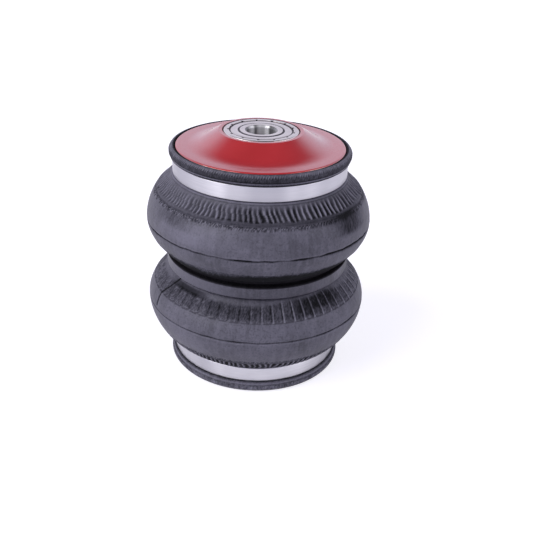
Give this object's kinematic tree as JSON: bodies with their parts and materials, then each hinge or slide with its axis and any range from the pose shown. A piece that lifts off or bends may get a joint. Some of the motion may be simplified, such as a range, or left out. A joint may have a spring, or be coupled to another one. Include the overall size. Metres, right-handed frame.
{
  "type": "air suspension spring",
  "caption": "Double-convolution rubber air spring with a girdle ring, crimped end plates and a ball bearing in its top plate, for a bag-over-strut leg.",
  "frame": {"origin": "on the spring's axis, on the lower plate's underside", "axes": "+Z along the spring's axis, from the lower plate to the bearing; +Y towards the air port"},
  "size_m": [0.1582, 0.1582, 0.1726],
  "materials": {
    "red_coating": "satin",
    "band_aluminium": "satin",
    "bellows_rubber": "matte",
    "girdle_black": "satin",
    "bearing_steel": "bright",
    "cage_polymer": "matte",
    "seal_rubber": "matte"
  },
  "bodies": {
    "lower_end": {"lower_plate": "red_coating", "lower_crimp_band": "band_aluminium", "strut_seal_ring_1": "seal_rubber", "strut_seal_ring_2": "seal_rubber", "bellows_lower_convolution": "bellows_rubber"},
    "waist": {"girdle_ring": "girdle_black"},
    "upper_end": {"top_plate": "red_coating", "upper_crimp_band": "band_aluminium", "bellows_upper_convolution": "bellows_rubber", "rod_seal_ring": "seal_rubber", "bearing_outer_ring": "bearing_steel", "bearing_shield_upper": "bearing_steel", "bearing_shield_lower": "bearing_steel"},
    "bearing_inner": {"bearing_inner_ring": "bearing_steel"},
    "bearing_cage_set": {"bearing_cage": "cage_polymer", "bearing_ball_1": "bearing_steel", "bearing_ball_2": "bearing_steel", "bearing_ball_3": "bearing_steel", "bearing_ball_4": "bearing_steel", "bearing_ball_5": "bearing_steel", "bearing_ball_6": "bearing_steel", "bearing_ball_7": "bearing_steel"}
  },
  "joints": [
    {"name": "lower_stroke", "type": "slide", "parent": "lower_end", "child": "waist", "axis": [0, 0, 1], "range_m": [-0.03, 0.018], "stiffness_N_per_m": 20000, "deforming": ["bellows_lower_convolution"]},
    {"name": "upper_stroke", "type": "slide", "parent": "waist", "child": "upper_end", "axis": [0, 0, 1], "range_m": [-0.03, 0.018], "stiffness_N_per_m": 20000, "deforming": ["bellows_upper_convolution"]},
    {"name": "bearing_turn", "type": "hinge", "parent": "upper_end", "child": "bearing_inner", "pos_m": [0, 0, 0.1651], "axis": [0, 0, 1], "continuous": true},
    {"name": "cage_turn", "type": "hinge", "parent": "upper_end", "child": "bearing_cage_set", "pos_m": [0, 0, 0.1651], "axis": [0, 0, 1], "continuous": true}
  ],
  "couplings": [
    {"joint": "lower_stroke", "follows": "upper_stroke", "ratio": 1},
    {"joint": "cage_turn", "follows": "bearing_turn", "ratio": 0.3678}
  ]
}
